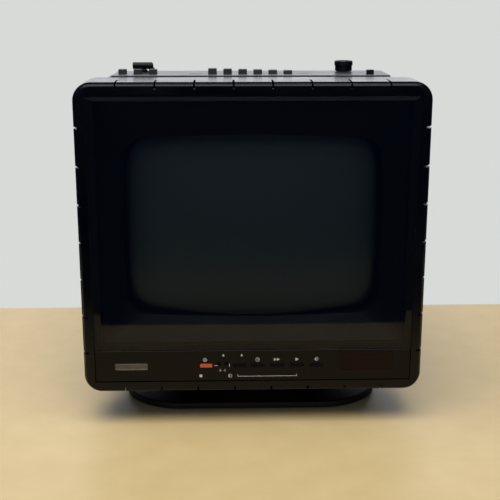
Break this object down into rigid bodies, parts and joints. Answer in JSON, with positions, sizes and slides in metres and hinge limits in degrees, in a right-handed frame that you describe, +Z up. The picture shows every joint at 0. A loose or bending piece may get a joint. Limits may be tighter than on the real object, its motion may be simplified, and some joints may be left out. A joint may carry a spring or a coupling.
{
  "type": "portable television",
  "caption": "Portable television with a smoked front filter, notched frame, clock keys below the screen, controls and folding aerial on top, on a swivel base.",
  "frame": {"origin": "centre of the bounding box at the underside of the rubber feet", "axes": "+Z up, screen faces -Y, +X to the viewer's right"},
  "size_m": [0.289, 0.2862, 0.3028],
  "materials": {
    "case_black": "satin",
    "cabinet_grey": "fine grain",
    "smoked_acrylic": "polished",
    "red_acrylic": "polished",
    "mask_black": "matt",
    "strip_grey": "satin",
    "tube_glass": "polished",
    "steel": "zinc plated",
    "chrome": "polished",
    "copper_winding": "lacquered",
    "rubber": "matt",
    "orange_key": "satin",
    "key_grey": "satin",
    "knob_black": "satin",
    "board": "phenolic paper",
    "component_black": "moulded",
    "nylon": "moulded",
    "aluminium": "extruded",
    "cone_paper": "pulp"
  },
  "bodies": {
    "base": {"base_plate": "case_black", "base_feet": "rubber", "glide_ring": "nylon", "pivot_stud": "steel", "pivot_nut": "steel"},
    "cabinet": {"turntable": "case_black", "front_frame": "case_black", "filter_panel": "smoked_acrylic", "tube_mask": "mask_black", "control_strip": "strip_grey", "display_window": "red_acrylic", "display_module": "component_black", "clock_board": "board", "clock_switches": "component_black", "picture_tube": "tube_glass", "rim_band": "steel", "tube_screws": "steel", "deflection_yoke": "copper_winding", "tube_socket": "nylon", "neck_board": "board", "rear_cabinet": "cabinet_grey", "cabinet_screws": "steel", "main_board": "board", "line_transformer": "component_black", "mains_transformer": "steel", "heat_sink": "aluminium", "capacitor": "component_black", "tuner_can": "steel", "speaker": "steel", "speaker_cone": "cone_paper", "top_panel": "cabinet_grey", "switch_banks": "component_black", "volume_pot": "steel", "aerial_collar": "case_black", "mains_inlet": "component_black", "aerial_socket": "component_black", "earphone_jack": "component_black"},
    "push_button_1": {"push_button_1": "key_grey"},
    "push_button_2": {"push_button_2": "key_grey"},
    "push_button_3": {"push_button_3": "key_grey"},
    "preset_key_1": {"preset_key_1": "key_grey"},
    "preset_key_2": {"preset_key_2": "key_grey"},
    "preset_key_3": {"preset_key_3": "key_grey"},
    "preset_key_4": {"preset_key_4": "key_grey"},
    "preset_key_5": {"preset_key_5": "key_grey"},
    "preset_key_6": {"preset_key_6": "key_grey"},
    "mute_button": {"mute_button": "knob_black"},
    "stop_key": {"stop_key": "orange_key"},
    "clock_key_1": {"clock_key_1": "strip_grey"},
    "clock_key_2": {"clock_key_2": "strip_grey"},
    "clock_key_3": {"clock_key_3": "strip_grey"},
    "clock_key_4": {"clock_key_4": "strip_grey"},
    "clock_key_5": {"clock_key_5": "strip_grey"},
    "alarm_slider": {"alarm_slider": "knob_black"},
    "volume_knob": {"volume_knob": "knob_black"},
    "aerial_swivel": {"aerial_swivel": "knob_black"},
    "aerial_mast": {"aerial_mast": "chrome"},
    "aerial_section_1": {"aerial_section_1": "chrome"},
    "aerial_section_2": {"aerial_section_2": "chrome"},
    "aerial_section_3": {"aerial_section_3": "chrome"}
  },
  "joints": [
    {"name": "base_swivel", "type": "hinge", "parent": "base", "child": "cabinet", "pos_m": [0, -0.0209, 0.031], "axis": [0, 0, 1], "range_deg": [-60, 60]},
    {"name": "push_button_1_press", "type": "slide", "parent": "cabinet", "child": "push_button_1", "axis": [0, 0, -1], "range_m": [0, 0.0025], "stiffness_N_per_m": 300, "springref_m": -0.001},
    {"name": "push_button_2_press", "type": "slide", "parent": "cabinet", "child": "push_button_2", "axis": [0, 0, -1], "range_m": [0, 0.0025], "stiffness_N_per_m": 300, "springref_m": -0.001},
    {"name": "push_button_3_press", "type": "slide", "parent": "cabinet", "child": "push_button_3", "axis": [0, 0, -1], "range_m": [0, 0.0025], "stiffness_N_per_m": 300, "springref_m": -0.001},
    {"name": "preset_key_1_press", "type": "slide", "parent": "cabinet", "child": "preset_key_1", "axis": [0, 0, -1], "range_m": [0, 0.0025], "stiffness_N_per_m": 300, "springref_m": -0.001},
    {"name": "preset_key_2_press", "type": "slide", "parent": "cabinet", "child": "preset_key_2", "axis": [0, 0, -1], "range_m": [0, 0.0025], "stiffness_N_per_m": 300, "springref_m": -0.001},
    {"name": "preset_key_3_press", "type": "slide", "parent": "cabinet", "child": "preset_key_3", "axis": [0, 0, -1], "range_m": [0, 0.0025], "stiffness_N_per_m": 300, "springref_m": -0.001},
    {"name": "preset_key_4_press", "type": "slide", "parent": "cabinet", "child": "preset_key_4", "axis": [0, 0, -1], "range_m": [0, 0.0025], "stiffness_N_per_m": 300, "springref_m": -0.001},
    {"name": "preset_key_5_press", "type": "slide", "parent": "cabinet", "child": "preset_key_5", "axis": [0, 0, -1], "range_m": [0, 0.0025], "stiffness_N_per_m": 300, "springref_m": -0.001},
    {"name": "preset_key_6_press", "type": "slide", "parent": "cabinet", "child": "preset_key_6", "axis": [0, 0, -1], "range_m": [0, 0.0025], "stiffness_N_per_m": 300, "springref_m": -0.001},
    {"name": "mute_button_press", "type": "slide", "parent": "cabinet", "child": "mute_button", "axis": [0, 0, -1], "range_m": [0, 0.0015], "stiffness_N_per_m": 300, "springref_m": -0.001},
    {"name": "stop_key_press", "type": "slide", "parent": "cabinet", "child": "stop_key", "axis": [0, 1, 0], "range_m": [0, 0.0012], "stiffness_N_per_m": 300, "springref_m": -0.001},
    {"name": "clock_key_1_press", "type": "slide", "parent": "cabinet", "child": "clock_key_1", "axis": [0, 1, 0], "range_m": [0, 0.0012], "stiffness_N_per_m": 300, "springref_m": -0.001},
    {"name": "clock_key_2_press", "type": "slide", "parent": "cabinet", "child": "clock_key_2", "axis": [0, 1, 0], "range_m": [0, 0.0012], "stiffness_N_per_m": 300, "springref_m": -0.001},
    {"name": "clock_key_3_press", "type": "slide", "parent": "cabinet", "child": "clock_key_3", "axis": [0, 1, 0], "range_m": [0, 0.0012], "stiffness_N_per_m": 300, "springref_m": -0.001},
    {"name": "clock_key_4_press", "type": "slide", "parent": "cabinet", "child": "clock_key_4", "axis": [0, 1, 0], "range_m": [0, 0.0012], "stiffness_N_per_m": 300, "springref_m": -0.001},
    {"name": "clock_key_5_press", "type": "slide", "parent": "cabinet", "child": "clock_key_5", "axis": [0, 1, 0], "range_m": [0, 0.0012], "stiffness_N_per_m": 300, "springref_m": -0.001},
    {"name": "alarm_slide", "type": "slide", "parent": "cabinet", "child": "alarm_slider", "axis": [1, 0, 0], "range_m": [-0.003, 0.003]},
    {"name": "volume_turn", "type": "hinge", "parent": "cabinet", "child": "volume_knob", "pos_m": [0.0838, -0.0369, 0.293], "axis": [0, 0, 1], "range_deg": [-140, 140]},
    {"name": "aerial_turn", "type": "hinge", "parent": "cabinet", "child": "aerial_swivel", "pos_m": [-0.094, -0.0419, 0.293], "axis": [0, 0, 1], "range_deg": [-25, 25]},
    {"name": "aerial_fold", "type": "hinge", "parent": "aerial_swivel", "child": "aerial_mast", "pos_m": [-0.08935, -0.0419, 0.299], "axis": [1, 0, 0], "range_deg": [0, 110]},
    {"name": "aerial_slide_1", "type": "slide", "parent": "aerial_mast", "child": "aerial_section_1", "axis": [0, 0.9848, -0.1736], "range_m": [0, 0.12]},
    {"name": "aerial_slide_2", "type": "slide", "parent": "aerial_section_1", "child": "aerial_section_2", "axis": [0, 0.9848, -0.1736], "range_m": [0, 0.12]},
    {"name": "aerial_slide_3", "type": "slide", "parent": "aerial_section_2", "child": "aerial_section_3", "axis": [0, 0.9848, -0.1736], "range_m": [0, 0.12]}
  ],
  "couplings": [
    {"joint": "aerial_slide_2", "follows": "aerial_slide_1", "ratio": 1},
    {"joint": "aerial_slide_3", "follows": "aerial_slide_1", "ratio": 1}
  ]
}
